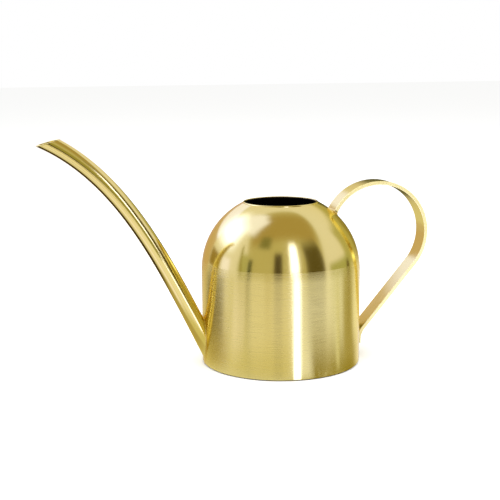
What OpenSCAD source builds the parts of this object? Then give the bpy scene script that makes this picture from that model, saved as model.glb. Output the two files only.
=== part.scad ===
// Long-spout indoor watering can in thin brass-coloured sheet.
// A straight round wall carries a domed shoulder with a round mouth; a slender tapered spout
// leaves the wall low on the -X side and a flat-strip loop handle stands on the +X side.
// The body axis is Z and the base rests on Z = 0, with the origin at the middle of the base.

/* [Body] */
// Outside diameter of the body
body_d = 130; // [105:1:160]
// Height of the seam between the straight wall and the dome
wall_top = 77; // [62:1:95]
// Sheet thickness of the base, wall and dome
sheet = 0.8; // [0.6:0.1:1.2]
// Outside radius of the bottom corner
corner_r = 2; // [1.5:0.1:3]
// Height of the base pan's upturned edge, which the wall stands on
pan_h = 4; // [3:0.1:5]

/* [Dome] */
// Distance of the shoulder arc's centre from the body axis
shoulder_inset = 4; // [2:0.1:8]
// Distance of the crown arc's centre below the shoulder arc's centre
crown_drop = 7; // [4:0.1:10]
// Radius of the mouth opening, inside its lip
mouth_r = 29; // [23:0.5:35]
// Radius of the rolled bead around the mouth
lip_r = 0.9; // [0.7:0.1:1.4]

/* [Spout] */
// Height at which the spout's centreline meets the wall
spout_root_z = 22; // [20:0.5:30]
// Outside diameter of the spout at the wall
spout_root_d = 14.8; // [12:0.1:17]
// Outside diameter of the spout at its tip
spout_tip_d = 13; // [11:0.1:15]
// Wall thickness of the spout tube
spout_wall = 0.8; // [0.6:0.1:1.2]
// Length of the spout's centreline
spout_len = 206; // [175:1:255]
// Slope of the spout at the wall, in degrees above the horizontal
spout_rise = 64; // [58:1:70]
// How far the spout bends over towards its tip, in degrees
spout_bend = 36.5; // [28:1:42]
// Slope of the cut across the spout's mouth, in degrees, falling away from the body
tip_slope = 15; // [5:1:25]

/* [Handle] */
// Width of the handle strip
handle_w = 18; // [14:0.5:22]
// Thickness of the handle strip
handle_t = 3; // [2:0.1:4]
// Outside radius of the handle's loop
loop_r = 43.5; // [36:0.5:52]
// Distance of the loop's centre outside the body wall
loop_out = 17; // [13:0.5:21]
// Height of the loop's centre
loop_z = 103.5; // [92:0.5:115]
// Outside radius of the bend above the handle's lower end
bend_r = 15; // [12:0.5:18]
// Length of the straight tab that lies on the wall
tab_len = 2.5; // [2:0.1:5]
// Height of the handle's lower end
tab_z = 11; // [8:0.5:14]

/* [Welds] */
// Height of the weld beads above the sheet they join
bead = 1.2; // [0.8:0.1:1.6]

/* [Hidden] */
$fn = 96;
eps = 0.01;
body_r = body_d / 2;
body_top = wall_top + body_r;

// The dome's outline is a shoulder arc tangent to the wall and a flatter crown arc tangent to it.
shoulder_r = body_r - shoulder_inset;
crown_r = shoulder_r + norm([shoulder_inset, crown_drop]);
crown_z = wall_top - crown_drop;
crown_angle = atan2(crown_drop, shoulder_inset);
lip_x = mouth_r + lip_r;
lip_z = crown_z + sqrt(pow(crown_r - sheet / 2, 2) - lip_x * lip_x);

// The spout is swept ring by ring along its centreline.
spout_root_r = spout_root_d / 2;
spout_tip_r = spout_tip_d / 2;
spout_rings = 30;
spout_sides = 32;
spout_curl = 2.5;
spout_hole_r = spout_root_r - spout_wall;
hole_len = 60;

// The strip's inner face is hollowed to the round wall, and its two edges lie just inside the wall.
seat_depth = 0.05;
seat_x = sqrt(body_r * body_r - handle_w * handle_w / 4) - seat_depth;
loop_centre = [body_r + loop_out, loop_z];
bend_centre = [seat_x + handle_t + bend_r, tab_z + tab_len];
centre_gap = bend_centre - loop_centre;
straight_len = sqrt(centre_gap * centre_gap - pow(loop_r + bend_r, 2));
// Heading of the straight part, measured from +X
heading = atan2(centre_gap[1], centre_gap[0]) + 360 - atan2(loop_r + bend_r, straight_len);
loop_end = heading + 90 - 360;
loop_start = 180;
bend_end = 180;

function unit(a) = [cos(a), sin(a)];

// Region under the body's outer line, from the base to the crown, moved outwards by grow
module body_section(grow = 0) {
    right_half = [[0, -2 * body_r], [2 * body_r, -2 * body_r], [2 * body_r, 3 * body_r], [0, 3 * body_r]];
    intersection() {
        polygon(right_half);
        union() {
            translate([0, corner_r]) square([body_r + grow, wall_top - corner_r]);
            translate([0, -grow]) square([body_r - corner_r, corner_r + grow + eps]);
            translate([body_r - corner_r, corner_r]) circle(r = corner_r + grow);
            dome_section(grow);
        }
    }
}

// Region under the dome's outer line above the seam, moved outwards by grow
module dome_section(grow = 0) {
    reach = 3 * body_r;
    crown_centre = [0, crown_z];
    intersection() {
        translate([shoulder_inset, wall_top]) circle(r = shoulder_r + grow);
        translate([0, wall_top]) square([reach, reach]);
    }
    intersection() {
        translate(crown_centre) circle(r = crown_r + grow);
        polygon([
            [0, wall_top], [shoulder_inset, wall_top],
            crown_centre + reach * unit(crown_angle), [0, reach]
        ]);
    }
}

module body_solid(grow = 0) {
    rotate_extrude() body_section(grow);
}

// Flat base with a rounded corner and a short upturned edge
module base_pan() {
    color("darkgoldenrod")
    rotate_extrude() intersection() {
        difference() {
            body_section();
            translate([0, sheet]) square([body_r - corner_r, body_top]);
            translate([0, corner_r]) square([body_r - sheet, body_top]);
            translate([body_r - corner_r, corner_r]) circle(r = corner_r - sheet);
        }
        square([body_r + sheet, pan_h]);
    }
}

// Places a shape along the spout's straight root, with Z pointing out of the body
module along_spout_root() {
    translate([-body_r, 0, spout_root_z]) rotate([0, spout_rise - 90, 0]) children();
}

// Straight round wall with the hole that feeds the spout
module body_wall() {
    color("goldenrod")
    difference() {
        translate([0, 0, pan_h]) cylinder(h = wall_top - pan_h, r = body_r);
        translate([0, 0, pan_h - 1]) cylinder(h = wall_top - pan_h + 2, r = body_r - sheet);
        along_spout_root() cylinder(h = hole_len, r = spout_hole_r, center = true);
    }
}

// Domed shoulder with the mouth and its rolled bead
module dome() {
    color("gold")
    rotate_extrude() {
        difference() {
            dome_section();
            dome_section(-sheet);
            square([lip_x, body_top]);
        }
        translate([lip_x, lip_z]) circle(r = lip_r);
    }
}

// Slope of the spout at a share t of its length
function spout_slope(t) = spout_rise - spout_bend * pow(t, spout_curl);

spout_step = spout_len / spout_rings;
spout_line = [
    for (i = 0, p = [-body_r, spout_root_z]; i <= spout_rings;
         p = p + spout_step * unit(180 - spout_slope((i + 0.5) / spout_rings)), i = i + 1) p
];

function spout_r(t, inset) = spout_root_r + (spout_tip_r - spout_root_r) * t - inset;

// A point p of the root ring, slid along the root's axis until it lies on the wall
function on_wall(p) =
    let (run = (sqrt(body_r * body_r - p[1] * p[1]) + p[0]) / cos(spout_rise))
    [p[0] - run * cos(spout_rise), p[1], p[2] + run * sin(spout_rise)];

// A point p of the last ring, slid along the tip's axis until it lies on the sloping cut
function on_tip_cut(p) =
    let (slope = spout_slope(1), end = spout_line[spout_rings],
         height = (p[2] - end[1]) * cos(tip_slope) - (p[0] - end[0]) * sin(tip_slope),
         run = -height / sin(slope + tip_slope))
    [p[0] - run * cos(slope), p[1], p[2] + run * sin(slope)];

function ring_point(i, a, inset) =
    let (t = i / spout_rings, slope = spout_slope(t), r = spout_r(t, inset), c = spout_line[i],
         p = [c[0] + r * cos(a) * sin(slope), r * sin(a), c[1] + r * cos(a) * cos(slope)])
    i == 0 ? on_wall(p) : i == spout_rings ? on_tip_cut(p) : p;

// Rings nearer an end than that end's slanting edge reaches along the spout are left out.
root_reach = spout_root_r * tan(spout_rise);
tip_reach = spout_tip_r / tan(spout_slope(1) + tip_slope);
function is_clear(s) = s > root_reach && spout_len - s > tip_reach;
function ring_rows() = [
    for (i = [0:spout_rings]) if (i == 0 || i == spout_rings || is_clear(i * spout_step)) i
];

// Hollow tapered tube that bends over towards its tip
module spout_tube() {
    rows = ring_rows();
    n = spout_sides;
    m = len(rows);
    outer = [for (i = rows) for (k = [0:n - 1]) ring_point(i, 360 * k / n, 0)];
    inner = [for (i = rows) for (k = [0:n - 1]) ring_point(i, 360 * k / n, spout_wall)];
    skin = [for (j = [0:m - 2]) for (k = [0:n - 1])
        [j * n + k, j * n + (k + 1) % n, (j + 1) * n + (k + 1) % n, (j + 1) * n + k]];
    bore = [for (f = skin) [f[3] + m * n, f[2] + m * n, f[1] + m * n, f[0] + m * n]];
    root_rim = [for (k = [0:n - 1]) [(k + 1) % n, k, m * n + k, m * n + (k + 1) % n]];
    last = (m - 1) * n;
    tip_rim = [for (k = [0:n - 1])
        [last + k, last + (k + 1) % n, last + m * n + (k + 1) % n, last + m * n + k]];
    color("gold") polyhedron(points = concat(outer, inner), faces = concat(skin, bore, root_rim, tip_rim));
}

// Weld bead around the spout's root
module spout_weld() {
    color("darkgoldenrod")
    difference() {
        intersection() {
            along_spout_root() cylinder(h = hole_len, r = spout_root_r + bead, center = true);
            cylinder(h = wall_top, r = body_r + bead);
            translate([-2 * body_r, -body_r, 0]) cube([2 * body_r, body_d, wall_top]);
        }
        along_spout_root() cylinder(h = 2 * hole_len, r = spout_root_r, center = true);
        translate([0, 0, -1]) cylinder(h = wall_top + 2, r = body_r);
    }
}

// Part of a ring between two angles
module arc_band(centre, r_low, r_high, from, to) {
    steps = 6;
    fan = [for (k = [0:steps]) 2 * r_high * unit(from + (to - from) * k / steps)];
    translate(centre) intersection() {
        difference() {
            circle(r = r_high);
            circle(r = r_low);
        }
        polygon(concat([[0, 0]], fan));
    }
}

// Side view of the strip, thickened by grow: loop, straight run, bend and tab
module strip_outline(grow = 0) {
    run_start = loop_centre + loop_r * unit(loop_end);
    arc_band(loop_centre, loop_r - handle_t - grow, loop_r + grow, loop_end, loop_start);
    translate(run_start) rotate(heading) translate([-eps, -handle_t - grow])
        square([straight_len + 2 * eps, handle_t + 2 * grow]);
    arc_band(bend_centre, bend_r - grow, bend_r + handle_t + grow, loop_end + 180, bend_end);
    translate([seat_x - grow, tab_z - grow]) square([handle_t + 2 * grow, tab_len + grow + eps]);
}

module strip(grow = 0) {
    rotate([90, 0, 0]) linear_extrude(handle_w + 2 * grow, center = true) strip_outline(grow);
}

// Flat strip bent into a loop, fitted to the dome above and to the wall below
module handle_strip() {
    color("goldenrod")
    difference() {
        strip();
        body_solid();
    }
}

// Weld bead around the strip's upper end, where it meets the dome
module handle_upper_weld() {
    color("darkgoldenrod")
    difference() {
        intersection() {
            strip(bead);
            body_solid(bead);
            translate([0, -body_r, wall_top]) cube([2 * body_r, body_d, body_r]);
        }
        strip();
        body_solid();
    }
}

// Quarter-round weld bead along the wall, under the strip's lower end
module handle_lower_weld() {
    half_angle = asin(handle_w / body_d);
    color("darkgoldenrod")
    rotate(-half_angle) rotate_extrude(angle = 2 * half_angle) intersection() {
        translate([body_r, tab_z]) circle(r = bead);
        translate([body_r, tab_z - bead]) square(bead);
    }
}

base_pan();
body_wall();
dome();
spout_tube();
spout_weld();
handle_strip();
handle_upper_weld();
handle_lower_weld();
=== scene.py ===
"""Looks of a long-spout brass watering can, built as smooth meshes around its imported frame."""

import math

import bmesh
import bpy
from mathutils import Matrix, Vector


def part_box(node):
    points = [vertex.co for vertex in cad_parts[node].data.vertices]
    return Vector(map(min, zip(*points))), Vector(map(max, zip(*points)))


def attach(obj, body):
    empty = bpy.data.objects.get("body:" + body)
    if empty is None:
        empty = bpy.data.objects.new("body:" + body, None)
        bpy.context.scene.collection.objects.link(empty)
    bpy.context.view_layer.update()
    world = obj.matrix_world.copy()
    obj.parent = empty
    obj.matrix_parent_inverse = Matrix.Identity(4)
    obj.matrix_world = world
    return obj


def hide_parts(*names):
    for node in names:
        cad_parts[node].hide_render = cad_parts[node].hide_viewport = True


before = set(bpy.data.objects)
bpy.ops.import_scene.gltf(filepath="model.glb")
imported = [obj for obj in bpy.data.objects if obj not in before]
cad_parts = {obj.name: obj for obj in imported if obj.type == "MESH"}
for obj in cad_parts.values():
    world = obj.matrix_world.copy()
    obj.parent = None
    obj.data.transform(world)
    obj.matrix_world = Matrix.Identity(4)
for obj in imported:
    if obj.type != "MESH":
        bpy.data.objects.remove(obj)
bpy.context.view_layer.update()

# ---------------------------------------------------------------- sizes, in metres
MM = 0.001

wall_low, wall_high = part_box("body_wall")
dome_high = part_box("dome")[1]
strip_low, strip_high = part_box("handle_strip")

BODY_R = wall_high.x
PAN_H = wall_low.z
WALL_TOP = wall_high.z
SHEET = 0.8 * MM
CORNER_R = 2 * MM
BRUSHED_TOP = WALL_TOP + 8.8 * MM

SHOULDER_INSET = 4 * MM
CROWN_DROP = 7 * MM
LIP_R = 0.9 * MM
LIP_X = 29 * MM + LIP_R
SHOULDER_R = BODY_R - SHOULDER_INSET
CROWN_R = SHOULDER_R + math.hypot(SHOULDER_INSET, CROWN_DROP)
CROWN_Z = WALL_TOP - CROWN_DROP
CROWN_ANGLE = math.atan2(CROWN_DROP, SHOULDER_INSET)
LIP_Z = dome_high.z - LIP_R

SPOUT_ROOT = Vector((-BODY_R, 0, 22 * MM))
SPOUT_LENGTH = 206 * MM
SPOUT_ROOT_R = 7.4 * MM
SPOUT_TIP_R = 6.5 * MM
SPOUT_WALL = 0.8 * MM
SPOUT_RISE = math.radians(64)
SPOUT_BEND = math.radians(36.5)
SPOUT_CURL = 2.5
SPOUT_STEPS = 400
SPOUT_SIDES = 96
TIP_SLOPE = math.radians(15)

STRIP_HALF_W = strip_high.y
STRIP_HALF_T = 1.5 * MM
STRIP_EDGE_R = 0.5 * MM
SEAT_DEPTH = 0.05 * MM
LOOP_OUTER_R = 43.5 * MM
LOOP_R = LOOP_OUTER_R - STRIP_HALF_T
LOOP_CENTRE = Vector((strip_high.x - LOOP_OUTER_R, 0, strip_high.z - LOOP_OUTER_R))
TAB_LENGTH = 2.5 * MM
BEND_R = 15 * MM + STRIP_HALF_T

WELD_W = 2 * MM
ROUND_SIDES = 256


# ---------------------------------------------------------------- mesh helpers
def skin(name, rings, wrap=False, sharp_above=40):
    """A closed smooth mesh of quads through rings of points; wrap joins the last ring to the first."""
    sides = len(rings[0])
    joins = len(rings) if wrap else len(rings) - 1
    faces = []
    for i in range(joins):
        here, there = i * sides, (i + 1) % len(rings) * sides
        for k in range(sides):
            m = (k + 1) % sides
            faces.append((here + k, here + m, there + m, there + k))
    if not wrap:
        faces.append(tuple(range(sides)))
        faces.append(tuple((len(rings) - 1) * sides + k for k in range(sides)))
    mesh = bpy.data.meshes.new(name)
    mesh.from_pydata([tuple(p) for ring in rings for p in ring], [], faces)
    bm = bmesh.new()
    bm.from_mesh(mesh)
    bmesh.ops.remove_doubles(bm, verts=bm.verts, dist=1e-7)
    bmesh.ops.recalc_face_normals(bm, faces=bm.faces)
    bm.to_mesh(mesh)
    bm.free()
    mesh.shade_smooth()
    mesh.set_sharp_from_angle(angle=math.radians(sharp_above))
    piece = bpy.data.objects.new(name, mesh)
    bpy.context.scene.collection.objects.link(piece)
    return piece


def lathe(name, outline):
    """Turns a closed outline of (radius, height) points about the can's axis."""
    turns = [2 * math.pi * k / ROUND_SIDES for k in range(ROUND_SIDES)]
    rings = [[(r * math.cos(a), r * math.sin(a), z) for a in turns] for r, z in outline]
    return skin(name, rings, wrap=True)


def arc(centre, radius, start, end, steps):
    """Points (x, z) along a circular arc, both ends included. Angles are in radians."""
    angles = [start + (end - start) * k / steps for k in range(steps + 1)]
    return [(centre[0] + radius * math.cos(a), centre[1] + radius * math.sin(a)) for a in angles]


def line(start, end, steps):
    """Evenly spaced points (x, z) between two points, both left out."""
    return [tuple(a + (b - a) * k / steps for a, b in zip(start, end)) for k in range(1, steps)]


def crossing(height_at, low, high):
    """The place between low and high where height_at changes sign, found by halving."""
    rising = height_at(high) > 0
    for _ in range(40):
        middle = (low + high) / 2
        if (height_at(middle) > 0) == rising:
            high = middle
        else:
            low = middle
    return (low + high) / 2


def fillet(name, feet_out, joints, feet_on, steps=10):
    """A hollow-faced weld between curves on two surfaces, with its back at their joint."""
    rings = []
    for i in range(steps + 1):
        t = i / steps
        out, back, on = (1 - t) ** 2, 2 * t * (1 - t), t * t
        rings.append([out * a + back * b + on * c for a, b, c in zip(feet_out, joints, feet_on)])
    rings.append(joints)
    return skin(name, rings, wrap=True)


def stands_for(piece, slot_name, *nodes):
    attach(piece, "root")
    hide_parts(*nodes)
    return piece


# ---------------------------------------------------------------- body
def body_radius(z):
    """Outside radius of the can's body at a height."""
    if z <= WALL_TOP:
        return BODY_R
    if z <= WALL_TOP + SHOULDER_R * math.sin(CROWN_ANGLE):
        return SHOULDER_INSET + math.sqrt(SHOULDER_R ** 2 - (z - WALL_TOP) ** 2)
    return math.sqrt(max(CROWN_R ** 2 - (z - CROWN_Z) ** 2, 0))


def outside_body(p):
    """How far a point is outside the body, measured level."""
    return math.hypot(p.x, p.y) - body_radius(p.z)


def make_base():
    corner = (BODY_R - CORNER_R, CORNER_R)
    down, level = -math.pi / 2, 0
    outline = [(0, 0)] + line((0, 0), (corner[0], 0), 12)
    outline += arc(corner, CORNER_R, down, level, 16)
    outline += [(BODY_R, PAN_H), (BODY_R - SHEET, PAN_H)]
    outline += arc(corner, CORNER_R - SHEET, level, down, 10)
    outline += line((corner[0], SHEET), (0, SHEET), 12) + [(0, SHEET)]
    return lathe("base_pan_shell", outline)


def make_wall():
    """The straight wall, with the hole that feeds the spout."""
    rows = 40
    inner = BODY_R - SHEET
    outline = [(BODY_R, PAN_H)] + line((BODY_R, PAN_H), (BODY_R, WALL_TOP), rows) + [(BODY_R, WALL_TOP)]
    outline += [(inner, WALL_TOP)] + line((inner, WALL_TOP), (inner, PAN_H), rows) + [(inner, PAN_H)]
    wall = lathe("body_wall_sheet", outline)
    bore, sides = SPOUT_ROOT_R - SPOUT_WALL, 64
    rings = []
    for reach in (-40 * MM, 40 * MM):
        rings.append([spout_point(reach, 2 * math.pi * k / sides, bore) for k in range(sides)])
    cutter = skin("cutter", rings)
    cut = wall.modifiers.new("spout_hole", "BOOLEAN")
    cut.operation = "DIFFERENCE"
    cut.solver = "EXACT"
    cut.object = cutter
    bpy.context.view_layer.update()
    finished = wall.evaluated_get(bpy.context.evaluated_depsgraph_get())
    cut_mesh = bpy.data.meshes.new_from_object(finished)
    wall.modifiers.clear()
    wall.data = cut_mesh
    bpy.data.objects.remove(cutter)
    return wall


def make_dome():
    """Shoulder, crown and the rolled bead around the mouth, then back down the inside."""
    shoulder = (SHOULDER_INSET, WALL_TOP)
    crown = (0, CROWN_Z)
    lip = math.acos(LIP_X / (CROWN_R - SHEET / 2))
    meet = math.acos(SHEET / 2 / LIP_R)
    lip_edge = lip - LIP_R * math.sin(meet) / CROWN_R
    outline = arc(shoulder, SHOULDER_R, 0, CROWN_ANGLE, 90)
    outline += arc(crown, CROWN_R, CROWN_ANGLE, lip_edge, 12)[1:]
    outline += arc((LIP_X, LIP_Z), LIP_R, lip - meet, lip + math.pi + meet, 28)[1:]
    outline += arc(crown, CROWN_R - SHEET, lip_edge, CROWN_ANGLE, 8)[1:]
    outline += arc(shoulder, SHOULDER_R - SHEET, CROWN_ANGLE, 0, 40)[1:]
    return lathe("dome_shell", outline)


# ---------------------------------------------------------------- spout
def spout_slope(share):
    share = min(max(share, 0), 1)
    return SPOUT_RISE - SPOUT_BEND * share ** SPOUT_CURL


def spout_heading(share):
    slope = spout_slope(share)
    return Vector((-math.cos(slope), 0, math.sin(slope)))


def spout_centreline():
    """Evenly spaced points along the middle of the spout, from its root to its tip."""
    points = [SPOUT_ROOT]
    for i in range(SPOUT_STEPS):
        step = spout_heading((i + 0.5) / SPOUT_STEPS) * SPOUT_LENGTH / SPOUT_STEPS
        points.append(points[-1] + step)
    return points


SPOUT_CENTRES = spout_centreline()
TIP_NORMAL = Vector((-math.sin(TIP_SLOPE), 0, math.cos(TIP_SLOPE)))


def spout_frame(s):
    """Centre and heading at a distance s along the spout, carried on straight past both ends."""
    share = s / SPOUT_LENGTH
    place = min(max(share * SPOUT_STEPS, 0), SPOUT_STEPS - 1e-6)
    i = int(place)
    centre = SPOUT_CENTRES[i].lerp(SPOUT_CENTRES[i + 1], place - i)
    heading = spout_heading(share)
    past = min(s, 0) + max(s - SPOUT_LENGTH, 0)
    return centre + heading * past, heading


def spout_point(s, a, radius):
    """A point of the tube's side, at a distance s along it and an angle a around it."""
    centre, heading = spout_frame(s)
    over = Vector((heading.z, 0, -heading.x))
    return centre + radius * (math.cos(a) * over + math.sin(a) * Vector((0, 1, 0)))


def spout_radius(s, inset):
    share = min(max(s / SPOUT_LENGTH, 0), 1)
    return SPOUT_ROOT_R + (SPOUT_TIP_R - SPOUT_ROOT_R) * share - inset


def spout_side(s, a, inset):
    """A point of the tube's side, inset from its outside."""
    return spout_point(s, a, spout_radius(s, inset))


def spout_root_end(a, inset):
    """Where a line of the tube's side meets the body."""
    return crossing(lambda s: outside_body(spout_side(s, a, inset)), -30 * MM, 40 * MM)


def spout_tip_end(a, inset, drop):
    """Where a line of the tube's side meets the plane drop below the sloping cut."""
    tip = spout_frame(SPOUT_LENGTH)[0]

    def height(s):
        return (spout_side(s, a, inset) - tip).dot(TIP_NORMAL) + drop

    return crossing(height, SPOUT_LENGTH - 40 * MM, SPOUT_LENGTH + 40 * MM)


def make_spout():
    rows, rim_rows = 150, 8
    turns = [2 * math.pi * k / SPOUT_SIDES for k in range(SPOUT_SIDES)]
    half = SPOUT_WALL / 2
    sleeves = []
    for inset in (0, SPOUT_WALL):
        starts = [spout_root_end(a, inset) for a in turns]
        ends = [spout_tip_end(a, inset, half) for a in turns]
        sleeves.append([
            [spout_side(lo + (hi - lo) * i / rows, a, inset) for a, lo, hi in zip(turns, starts, ends)]
            for i in range(rows + 1)
        ])
    outer, inner = sleeves
    rim = []
    for i in range(1, rim_rows):
        b = math.pi * i / rim_rows
        lift = TIP_NORMAL * half * math.sin(b)
        rim.append([p.lerp(q, (1 - math.cos(b)) / 2) + lift for p, q in zip(outer[-1], inner[-1])])
    return skin("spout_pipe", outer + rim + inner[::-1], wrap=True)


def make_spout_weld():
    feet_out, joints, feet_on = [], [], []
    for k in range(SPOUT_SIDES):
        a = 2 * math.pi * k / SPOUT_SIDES
        wide = spout_root_end(a, -WELD_W)
        joint = spout_root_end(a, 0)
        on = joint + WELD_W
        feet_out.append(spout_side(wide, a, -WELD_W))
        joints.append(spout_side(joint, a, 0))
        feet_on.append(spout_side(on, a, 0))
    return fillet("spout_root_weld", feet_out, joints, feet_on)


# ---------------------------------------------------------------- handle
SEAT_X = math.sqrt(BODY_R ** 2 - STRIP_HALF_W ** 2) - SEAT_DEPTH
BEND_CENTRE = Vector((SEAT_X + STRIP_HALF_T + BEND_R, 0, strip_low.z + TAB_LENGTH))
CENTRES_GAP = BEND_CENTRE - LOOP_CENTRE
STRAIGHT = math.sqrt(CENTRES_GAP.length_squared - (LOOP_R + BEND_R) ** 2)
HEADING = math.atan2(CENTRES_GAP.z, CENTRES_GAP.x) - math.atan2(LOOP_R + BEND_R, STRAIGHT)
LOOP_TURN = math.pi / 2 - HEADING
BEND_TURN = HEADING + math.pi / 2
STRETCHES = [LOOP_R * LOOP_TURN, STRAIGHT, BEND_R * abs(BEND_TURN), TAB_LENGTH]


def strip_frame(s):
    """Middle of the strip and its outward normal at a distance s from the loop's level inner point."""
    loop, straight, bend, _ = STRETCHES
    if s < loop:
        a = math.pi - s / LOOP_R
        normal = Vector((math.cos(a), 0, math.sin(a)))
        return LOOP_CENTRE + LOOP_R * normal, normal
    end = math.pi - LOOP_TURN
    normal = Vector((math.cos(end), 0, math.sin(end)))
    ahead = Vector((math.sin(end), 0, -math.cos(end)))
    run_end = LOOP_CENTRE + LOOP_R * normal + ahead * min(s - loop, straight)
    if s < loop + straight:
        return run_end, normal
    a = end + math.pi + min((s - loop - straight) / BEND_R, abs(BEND_TURN))
    spoke = Vector((math.cos(a), 0, math.sin(a)))
    down = Vector((0, 0, -1)) * max(s - loop - straight - bend, 0)
    return BEND_CENTRE + BEND_R * spoke + down, -spoke


def strip_point(s, u, v):
    """A point u outside the strip's middle and v across its width."""
    middle, normal = strip_frame(s)
    return middle + normal * u + Vector((0, v, 0))


def strip_section(grow=0):
    """Outline of the strip's cross-section: a rectangle with rounded corners and points beside them."""
    half_t, half_w = STRIP_HALF_T + grow, STRIP_HALF_W + grow
    round_r = STRIP_EDGE_R + grow
    beside = 0.1 * MM
    points = []
    for quarter, (su, sv) in enumerate(((1, 1), (-1, 1), (-1, -1), (1, -1))):
        centre = (su * (half_t - round_r), sv * (half_w - round_r))
        start = quarter * math.pi / 2
        corner = arc(centre, round_r, start, start + math.pi / 2, 6)
        end = start + math.pi / 2
        points.append((corner[0][0] + math.sin(start) * beside, corner[0][1] - math.cos(start) * beside))
        points += corner
        points.append((corner[-1][0] - math.sin(end) * beside, corner[-1][1] + math.cos(end) * beside))
    return points


def strip_top_end(u, v):
    return crossing(lambda s: outside_body(strip_point(s, u, v)), 0, STRETCHES[0] / 2)


def pushed_out(p):
    """A point moved level out of the body, if it is inside the straight wall."""
    if p.z < WALL_TOP and p.x > 0 and math.hypot(p.x, p.y) < BODY_R:
        return Vector((math.sqrt(BODY_R ** 2 - p.y ** 2), p.y, p.z))
    return p


def make_strip():
    rows = 260
    length = sum(STRETCHES)
    section = strip_section()
    starts = [strip_top_end(u, v) for u, v in section]
    rings = []
    for i in range(rows + 1):
        t = i / rows
        rings.append([
            pushed_out(strip_point(lo + (length - lo) * t, u, v)) for (u, v), lo in zip(section, starts)
        ])
    return skin("handle_loop_strip", rings)


def make_upper_weld():
    grown, plain = strip_section(WELD_W), strip_section()
    feet_out, joints, feet_on = [], [], []
    for (gu, gv), (u, v) in zip(grown, plain):
        joint = strip_top_end(u, v)
        feet_out.append(strip_point(strip_top_end(gu, gv), gu, gv))
        joints.append(strip_point(joint, u, v))
        feet_on.append(strip_point(joint + WELD_W, u, v))
    return fillet("handle_top_weld", feet_out, joints, feet_on)


def make_lower_weld():
    """A short bead along the wall, under the strip's end, that thins out towards both sides."""
    z = strip_low.z
    half_angle = math.asin(STRIP_HALF_W / BODY_R)
    steps = 48
    feet_out, joints, feet_on = [], [], []
    for k in range(steps + 1):
        share = 2 * k / steps - 1
        a = half_angle * share
        width = WELD_W * 0.6 * math.sqrt(max(1 - share * share, 0.004))
        out = Vector((math.cos(a), math.sin(a), 0))
        joint = out * BODY_R + Vector((0, 0, z))
        feet_out.append(joint - Vector((0, 0, width)))
        joints.append(joint)
        feet_on.append(joint + out * width)
    rows = 8
    rings = []
    for a, b, c in zip(feet_out, joints, feet_on):
        face = []
        for i in range(rows + 1):
            t = math.pi / 2 * i / rows
            face.append(b + (a - b) * math.cos(t) + (c - b) * math.sin(t))
        rings.append(face + [b])
    return skin("handle_end_weld", rings)


# ---------------------------------------------------------------- materials
def new_material(name):
    material = bpy.data.materials.new(name)
    material.use_nodes = True
    nodes = material.node_tree.nodes
    return material, nodes, material.node_tree.links, nodes["Principled BSDF"]


def brass(name, colours, roughness, grain, bump, anisotropy=0.0, turned=False, metal=1.0):
    """Brass whose colour, roughness and bump vary with a grain, which turned metal has around the can."""
    material, nodes, links, shader = new_material(name)
    pale, deep = colours
    shader.inputs["Metallic"].default_value = metal
    shader.inputs["Anisotropic"].default_value = anisotropy
    shader.inputs["Anisotropic Rotation"].default_value = 0.25
    shader.inputs["Specular Tint"].default_value = (*EDGE, 1)

    place = nodes.new("ShaderNodeTexCoord")
    split = nodes.new("ShaderNodeSeparateXYZ")
    turn = nodes.new("ShaderNodeMath")
    turn.operation = "ARCTAN2"
    join = nodes.new("ShaderNodeCombineXYZ")
    links.new(place.outputs["Object"], split.inputs[0])
    links.new(split.outputs["Y"], turn.inputs[0])
    links.new(split.outputs["X"], turn.inputs[1])
    links.new(turn.outputs[0], join.inputs["X"])
    links.new(split.outputs["Z"], join.inputs["Z"])

    stretch = nodes.new("ShaderNodeMapping")
    stretch.inputs["Scale"].default_value = grain
    links.new(join.outputs["Vector"] if turned else place.outputs["Object"], stretch.inputs["Vector"])
    lines = nodes.new("ShaderNodeTexNoise")
    lines.inputs["Scale"].default_value = 1
    lines.inputs["Detail"].default_value = 6
    lines.inputs["Roughness"].default_value = 0.65
    links.new(stretch.outputs["Vector"], lines.inputs["Vector"])

    cloud = nodes.new("ShaderNodeTexNoise")
    cloud.inputs["Scale"].default_value = 28
    cloud.inputs["Detail"].default_value = 3
    links.new(place.outputs["Object"], cloud.inputs["Vector"])

    tint = nodes.new("ShaderNodeMix")
    tint.data_type = "RGBA"
    tint.inputs["A"].default_value = (*deep, 1)
    tint.inputs["B"].default_value = (*pale, 1)
    blend = nodes.new("ShaderNodeMix")
    blend.inputs["Factor"].default_value = 0.6
    links.new(cloud.outputs["Fac"], blend.inputs["A"])
    links.new(lines.outputs["Fac"], blend.inputs["B"])
    links.new(blend.outputs["Result"], tint.inputs["Factor"])
    links.new(tint.outputs["Result"], shader.inputs["Base Color"])

    rough = nodes.new("ShaderNodeMapRange")
    rough.inputs["From Min"].default_value = 0.3
    rough.inputs["From Max"].default_value = 0.7
    rough.inputs["To Min"].default_value = roughness[0]
    rough.inputs["To Max"].default_value = roughness[1]
    links.new(lines.outputs["Fac"], rough.inputs["Value"])
    links.new(rough.outputs["Result"], shader.inputs["Roughness"])

    relief = nodes.new("ShaderNodeBump")
    relief.inputs["Strength"].default_value = 0.5
    relief.inputs["Distance"].default_value = bump
    links.new(lines.outputs["Fac"], relief.inputs["Height"])
    links.new(relief.outputs["Normal"], shader.inputs["Normal"])
    return material


def around_z(material):
    """Runs the material's grain direction around the can's axis."""
    nodes = material.node_tree.nodes
    tangent = nodes.new("ShaderNodeTangent")
    tangent.direction_type = "RADIAL"
    tangent.axis = "Z"
    material.node_tree.links.new(tangent.outputs["Tangent"], nodes["Principled BSDF"].inputs["Tangent"])
    return material


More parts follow.
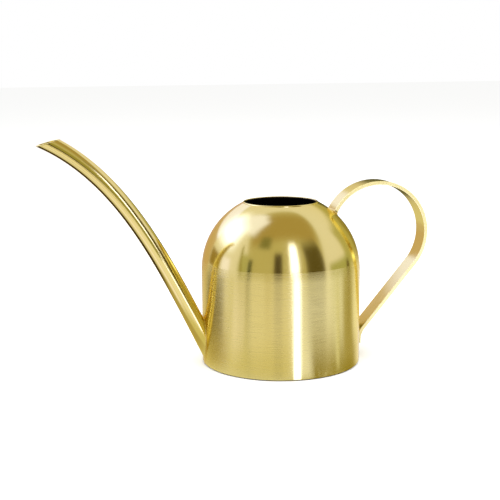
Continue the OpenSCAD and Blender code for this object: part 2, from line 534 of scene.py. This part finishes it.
PALE = (0.90, 0.77, 0.25)
DEEP = (0.80, 0.66, 0.15)
WARM = (0.78, 0.57, 0.16)
# A paler colour for the strip's cut edges: a painted highlight.
GLINT = (1.0, 0.90, 0.55)
EDGE = (0.95, 0.84, 0.50)
# Painted shade: near black for the inside of the can and the base's underside, darker than the brass is.
INSIDE_SHADE = (0.06, 0.045, 0.03)
INSIDE_DEEP_SHADE = (0.02, 0.015, 0.01)


def paint():
    satin, fine, even = (4, 1, 900), (60, 1, 1200), (60, 60, 60)
    brushed = around_z(brass(
        "brushed_brass", (PALE, DEEP), (0.22, 0.30), satin, 0.0035 * MM, anisotropy=0.95, turned=True
    ))
    polished = brass("polished_brass", (PALE, DEEP), (0.12, 0.18), fine, 0.001 * MM, turned=True)
    pipe = brass("pipe_brass", (PALE, DEEP), (0.10, 0.16), even, 0.0005 * MM)
    strip = brass("strip_brass", (PALE, DEEP), (0.12, 0.18), even, 0.0005 * MM)
    # Painted highlight: the strip's cut edges get a paler colour and less metal, so they look bright
    # whatever they reflect.
    edge_glint = brass("cut_edge_painted_glint", (GLINT, PALE), (0.2, 0.3), even, 0.0005 * MM, metal=0.4)
    weld = brass("weld_brass", (DEEP, WARM), (0.22, 0.34), (900, 900, 900), 0.02 * MM)
    # Painted shade: the inside of the can and the base's underside are painted near black for the shade
    # in there.
    inside = brass("inside_painted_shade", (INSIDE_SHADE, INSIDE_DEEP_SHADE), (0.6, 0.8), (40, 1, 1500), 0.01 * MM, turned=True)
    return brushed, polished, pipe, strip, edge_glint, weld, inside


def coat(piece, main, *zones):
    """Gives a piece its main material, and another one where each zone's test picks a face."""
    piece.data.materials.clear()
    piece.data.materials.append(main)
    for index, (other, picks) in enumerate(zones, start=1):
        piece.data.materials.append(other)
        for face in piece.data.polygons:
            if picks(face):
                face.material_index = index


# These faces take the painted highlight of the strip's cut edges.
def faces_sideways(face):
    """True for a face of the strip's two cut edges."""
    return abs(face.normal.y) > 0.6


def in_brushed_zone(face):
    """True for a face of the dome's outside that is low enough to be brushed like the wall."""
    return face.center.z < BRUSHED_TOP and outside_body(face.center) > -SHEET / 2


# These faces take the painted shade of the inside and of the base's underside.
def faces_inward(face):
    """True for the inside faces of the wall, the base and the dome, and for the base's underside."""
    c, n = face.center, face.normal
    level = math.hypot(c.x, c.y)
    radial = (n.x * c.x + n.y * c.y) / max(level, 1e-9)
    return outside_body(c) < -SHEET * 0.6 and (radial < -0.2 or c.z < PAN_H + MM or n.z < -0.3)


# ---------------------------------------------------------------- studio
def between(ends, share):
    """The value a share of the way from the first of two ends to the second."""
    return ends[0] + (ends[1] - ends[0]) * share


def direction(azimuth, elevation):
    """Unit vector from the can, with azimuth 0 towards -Y and 90 towards +X, in degrees."""
    a, e = math.radians(azimuth), math.radians(elevation)
    return Vector((math.sin(a) * math.cos(e), -math.cos(a) * math.cos(e), math.sin(e)))


MIDDLE = Vector((0, 0, 70 * MM))
VIEW_TURN = -14
VIEW_DOWN = 10.33
VIEW_ROLL = math.radians(-0.39)
VIEW_BACK = direction(VIEW_TURN, VIEW_DOWN)
VIEW_RIGHT = direction(VIEW_TURN + 90, 0)
VIEW_UP = VIEW_BACK.cross(VIEW_RIGHT)
VIEW_PLACE = VIEW_BACK * 900 * MM - VIEW_RIGHT * 25.1 * MM + VIEW_UP * 90.8 * MM


def make_camera():
    """A long lens a little above the can, turned towards its spout side."""
    right = math.cos(VIEW_ROLL) * VIEW_RIGHT + math.sin(VIEW_ROLL) * VIEW_UP
    up = math.cos(VIEW_ROLL) * VIEW_UP - math.sin(VIEW_ROLL) * VIEW_RIGHT
    data = bpy.data.cameras.new("camera")
    data.lens = 77.47
    data.sensor_width = 36
    data.clip_start, data.clip_end = 0.05, 50
    camera = bpy.data.objects.new("camera", data)
    turned = Matrix((right, up, VIEW_BACK)).transposed()
    camera.matrix_world = Matrix.Translation(VIEW_PLACE) @ turned.to_4x4()
    bpy.context.scene.collection.objects.link(camera)
    bpy.context.scene.camera = camera


def overhead_light():
    """A soft square light almost straight above, which the metal doesn't reflect."""
    data = bpy.data.lights.new("overhead", "AREA")
    data.shape = "SQUARE"
    data.size = 2.0
    data.energy = 30
    back = direction(0, 80)
    lamp = bpy.data.objects.new("overhead", data)
    turned = back.to_track_quat("Z", "Y").to_matrix()
    lamp.matrix_world = Matrix.Translation(MIDDLE + back * 1.5) @ turned.to_4x4()
    lamp.visible_camera = False
    lamp.visible_glossy = False
    bpy.context.scene.collection.objects.link(lamp)


def ramp(place, cells, share):
    """Rises smoothly from 0 at both ends of a row of cells to 1 at a share of its length further in."""
    if share == 0:
        return 1
    x = min(min(place, cells - place) / (cells * share), 1)
    return x * x * (3 - 2 * x)


def panel(name, grid, colour, soft):
    """A sheet of light through a grid of points, faded towards its edges. Only the metal sees it."""
    rows, columns = len(grid) - 1, len(grid[0]) - 1
    first = columns + 1
    corners = [i * first + k for i in range(rows) for k in range(columns)]
    faces = [(c, c + 1, c + first + 1, c + first) for c in corners]
    mesh = bpy.data.meshes.new(name)
    mesh.from_pydata([tuple(p) for row in grid for p in row], [], faces)
    cover = mesh.attributes.new("cover", "FLOAT", "POINT")
    for i in range(rows + 1):
        for k in range(first):
            cover.data[i * first + k].value = ramp(i, rows, soft[1]) * ramp(k, columns, soft[0])
    mesh.materials.append(glow(name, colour))
    sheet = bpy.data.objects.new(name, mesh)
    only_reflected(sheet)
    bpy.context.scene.collection.objects.link(sheet)


def screen(name, azimuths, elevations, colour, distance, soft=(0.1, 0.1)):
    """A lit piece of a big sphere around the can."""
    columns, rows = 40, 24
    grid = []
    for i in range(rows + 1):
        e = between(elevations, i / rows)
        turns = [between(azimuths, k / columns) for k in range(columns + 1)]
        grid.append([MIDDLE + distance * direction(a, e) for a in turns])
    panel(name, grid, colour, soft)


def vault(name, pitches, half_angle, colour, distance, soft):
    """A lit arch that rises from in front of the can and narrows to a point past the zenith."""
    columns, rows = 40, 40
    ahead, side, up = direction(-7, 0), direction(83, 0), Vector((0, 0, 1))
    point_pitch = 108
    grid = []
    for i in range(rows + 1):
        pitch = between(pitches, i / rows)
        reach = math.radians(half_angle) * math.sqrt(max(1 - (pitch / point_pitch) ** 2, 0))
        p = math.radians(pitch)
        spoke = math.cos(p) * ahead + math.sin(p) * up
        turns = [reach * (2 * k / columns - 1) for k in range(columns + 1)]
        grid.append([MIDDLE + distance * (math.cos(a) * spoke + math.sin(a) * side) for a in turns])
    panel(name, grid, colour, soft)


def glow(name, colour):
    """Light that is clear where the sheet's cover is 0."""
    material = bpy.data.materials.new(name)
    material.use_nodes = True
    nodes, links = material.node_tree.nodes, material.node_tree.links
    nodes.clear()
    light = nodes.new("ShaderNodeEmission")
    light.inputs["Color"].default_value = (*colour, 1)
    clear = nodes.new("ShaderNodeBsdfTransparent")
    cover = nodes.new("ShaderNodeAttribute")
    cover.attribute_name = "cover"
    blend = nodes.new("ShaderNodeMixShader")
    output = nodes.new("ShaderNodeOutputMaterial")
    links.new(cover.outputs["Fac"], blend.inputs["Fac"])
    links.new(clear.outputs[0], blend.inputs[1])
    links.new(light.outputs[0], blend.inputs[2])
    links.new(blend.outputs[0], output.inputs["Surface"])
    return material


def matt(name, colour):
    material, _, _, shader = new_material(name)
    shader.inputs["Base Color"].default_value = (*colour, 1)
    shader.inputs["Roughness"].default_value = 1
    shader.inputs["Specular IOR Level"].default_value = 0
    return material


def only_reflected(piece):
    """The metal sees this piece, and the camera and the matt surfaces don't."""
    piece.visible_camera = False
    piece.visible_shadow = False
    piece.visible_diffuse = False


def make_floor():
    reach = 8
    corners = [(-reach, -reach, 0), (reach, -reach, 0), (reach, reach, 0), (-reach, reach, 0)]
    mesh = bpy.data.meshes.new("floor")
    mesh.from_pydata(corners, [], [(0, 1, 2, 3)])
    mesh.materials.append(matt("floor", (0.95, 0.95, 0.94)))
    floor = bpy.data.objects.new("floor", mesh)
    floor.visible_glossy = False
    bpy.context.scene.collection.objects.link(floor)


def table_height(level):
    """The stretches of the table top lie under the floor, each a hair above the one before it."""
    return (-0.2 + 0.01 * level) * MM


def table_patch(name, azimuths, radii, colour, soft, level):
    """A stretch of the table top around the can that the metal reflects lighter or darker."""
    columns, rows = 40, 24
    z = table_height(level)
    grid = []
    for i in range(rows + 1):
        r = between(radii, i / rows)
        row = []
        for k in range(columns + 1):
            way = direction(between(azimuths, k / columns), 0)
            row.append((way.x * r, way.y * r, z))
        grid.append(row)
    panel(name, grid, colour, soft)


def wall_view(name, across, heights, colour, soft, level):
    """A stretch of the table top set out by where the straight wall mirrors it towards the camera.

    across runs from -1 at the wall's left outline to 1 at its right outline, and heights are in mm.
    """
    columns, rows = 40, 24
    z = table_height(level)
    grid = []
    for i in range(rows + 1):
        height = between(heights, i / rows) * MM
        row = []
        for k in range(columns + 1):
            facing = math.degrees(math.asin(between(across, k / columns)))
            outward = direction(facing + VIEW_TURN, 0)
            spot = BODY_R * outward + Vector((0, 0, height))
            ray = (spot - VIEW_PLACE).normalized()
            ray -= 2 * ray.dot(outward) * outward
            spot -= ray * spot.z / ray.z
            row.append((spot.x, spot.y, z))
        grid.append(row)
    panel(name, grid, colour, soft)


def spout_card(name, turns, colour, soft):
    """A sheet alongside the spout, between two turns about it from the side that faces the camera."""
    columns, rows, distance = 16, 30, 60 * MM
    start = 0.3
    grid = []
    for i in range(rows + 1):
        centre, heading = spout_frame(SPOUT_LENGTH * (start + (1 - start) * i / rows))
        to_camera = VIEW_PLACE - centre
        facing = (to_camera - heading * to_camera.dot(heading)).normalized()
        right = heading.cross(facing)
        row = []
        for k in range(columns + 1):
            a = math.radians(between(turns, k / columns))
            row.append(centre + distance * (math.cos(a) * facing - math.sin(a) * right))
        grid.append(row)
    panel(name, grid, colour, soft)


def light_table():
    """The metal reflects a lit table top in place of the pale floor."""
    # Each patch ends with its level. The views that follow take levels 1 to 12.
    patches = [
        ("table_top", (-180, 180), (0, 8), (0.80, 0.79, 1.00), (0, 0), 0),
        ("spout_glow", (-80, -58), (0.13, 0.30), (1.10, 1.05, 1.90), (0.2, 0.2), 12),
        ("back_shade", (145, 166), (0.30, 1.18), (0.10, 0.11, 0.06), (0.15, 0.1), 13),
        ("back_tan_table", (172, 218), (0.35, 1.18), (0.68, 0.58, 0.70), (0.1, 0.1), 14),
        ("edge_glow", (18, 36), (0.45, 1.1), (1.30, 1.30, 1.75), (0.3, 0.2), 15),
    ]
    for patch in patches:
        table_patch(*patch)
    spout_card("spout_shade", (-24, 10), (0.36, 0.33, 0.13), (0.25, 0.05))
    views = [
        ("left_table", (-1, 0.2), (1, 110), (0.80, 0.77, 0.92), (0.05, 0.05)),
        ("right_table", (0.14, 1), (1, 110), (1.10, 1.14, 1.95), (0.05, 0.05)),
        ("middle_table", (-0.46, 0.14), (4, 110), (1.00, 0.97, 1.36), (0.1, 0.1)),
        ("left_near", (-1, 0.12), (0.5, 26), (0.72, 0.67, 0.50), (0.05, 0.4)),
        ("left_dark", (-0.96, -0.68), (20, 86), (0.05, 0.03, 0.01), (0.25, 0.2)),
        ("left_low", (-0.95, -0.62), (2, 40), (0.52, 0.44, 0.28), (0.3, 0.3)),
        ("seam_streak", (-0.46, -0.40), (52, 110), (0.20, 0.14, 0.05), (0.4, 0.4)),
        ("middle_streak", (-0.24, -0.12), (60, 110), (0.50, 0.38, 0.20), (0.4, 0.4)),
        ("right_near", (0.30, 0.97), (-24, 40), (0.36, 0.30, 0.09), (0.15, 0.4)),
        ("right_low", (0.71, 0.90), (6, 100), (0.48, 0.42, 0.28), (0.3, 0.1)),
        ("right_streak", (0.64, 0.71), (1, 70), (0.92, 0.92, 1.10), (0.4, 0.2)),
        ("window", (0.115, 0.23), (0.2, 110), (3.0, 3.3, 8.5), (0.25, 0)),
    ]
    for level, (name, across, heights, colour, soft) in enumerate(views, start=1):
        wall_view("table_" + name, across, heights, colour, soft, level)


def light_studio():
    world = bpy.data.worlds.new("studio")
    world.use_nodes = True
    backdrop = world.node_tree.nodes["Background"]
    backdrop.inputs["Color"].default_value = (1, 1, 1, 1)
    backdrop.inputs["Strength"].default_value = 1.0
    bpy.context.scene.world = world
    overhead_light()
    screen("sky", (-180, 180), (-3.3, 90), (0.88, 0.86, 1.30), 1.2, (0, 0))
    vault("front_wall", (-8, 107), 58, (0.56, 0.51, 0.40), 0.60, (0.06, 0.06))
    vault("front_top", (45, 106), 54, (0.44, 0.34, 0.18), 0.595, (0.1, 0.3))
    screen("front_left_upper", (-58, -28), (34, 60), (0.22, 0.21, 0.10), 0.58, (0.35, 0.35))
    screen("left_low_shade", (-142, -106), (-3, 15), (0.34, 0.24, 0.08), 0.575, (0.25, 0.2))
    screen("front_dark_post", (-26, -12), (-12, 38), (0.06, 0.04, 0.015), 0.56, (0.2, 0.2))
    screen("left_dark_post", (-62, -55), (-10, 24), (0.05, 0.06, 0.02), 0.56, (0.2, 0.2))
    screen("right_dark_wall", (18, 50), (-22, 54), (0.11, 0.085, 0.025), 0.58, (0.15, 0.3))
    screen("left_edge", (-80, -58), (-10, 30), (0.50, 0.49, 0.34), 0.598, (0.3, 0.2))
    screen("left_low_glow", (-110, -88), (-5, 18), (1.10, 1.10, 2.40), 0.596, (0.3, 0.3))
    screen("right_low_olive", (52, 104), (-14, 14), (0.46, 0.47, 0.30), 0.598, (0.15, 0.3))
    screen("right_spot", (88, 97), (-12, 8), (0.12, 0.08, 0.03), 0.59, (0.3, 0.3))
    screen("right_wall", (86, 152), (-8, 42), (0.52, 0.50, 0.34), 0.60, (0.15, 0.25))
    screen("right_far_shade", (126, 152), (-8, 22), (0.34, 0.30, 0.13), 0.59, (0.2, 0.3))
    screen("window_strip", (-4.5, 9.5), (-2, 50), (2.8, 3.0, 7.0), 0.28, (0.25, 0.25))
    screen("left_window", (-160, -84), (16, 62), (2.0, 2.3, 6.0), 0.58, (0.35, 0.4))
    screen("left_glow", (-150, -62), (46, 82), (1.10, 1.15, 2.60), 0.585, (0.25, 0.25))
    screen("back_tan", (172, 222), (-6, 19), (0.66, 0.52, 0.56), 0.60, (0.05, 0.05))
    screen("back_white", (174, 225), (17.5, 42), (1.12, 1.22, 3.6), 0.595, (0.1, 0.08))
    screen("back_dark", (144, 174), (-6, 26), (0.12, 0.13, 0.07), 0.59, (0.1, 0.2))


# ---------------------------------------------------------------- build
brushed, polished, pipe, strip, edge_glint, weld, inside = paint()

base = stands_for(make_base(), "brushed_brass", "base_pan")
coat(base, brushed, (inside, faces_inward))

wall = stands_for(make_wall(), "brushed_brass", "body_wall")
coat(wall, brushed, (inside, faces_inward))

dome = stands_for(make_dome(), "polished_brass", "dome")
coat(dome, polished, (inside, faces_inward), (brushed, in_brushed_zone))

spout = stands_for(make_spout(), "polished_brass", "spout_tube")
coat(spout, pipe)

handle = stands_for(make_strip(), "polished_brass", "handle_strip")
coat(handle, strip, (edge_glint, faces_sideways))

coat(stands_for(make_spout_weld(), "weld_brass", "spout_weld"), weld)
coat(stands_for(make_upper_weld(), "weld_brass", "handle_upper_weld"), weld)
coat(stands_for(make_lower_weld(), "weld_brass", "handle_lower_weld"), weld)

make_floor()
light_table()
light_studio()
make_camera()
bpy.context.scene.view_settings.view_transform = "Standard"
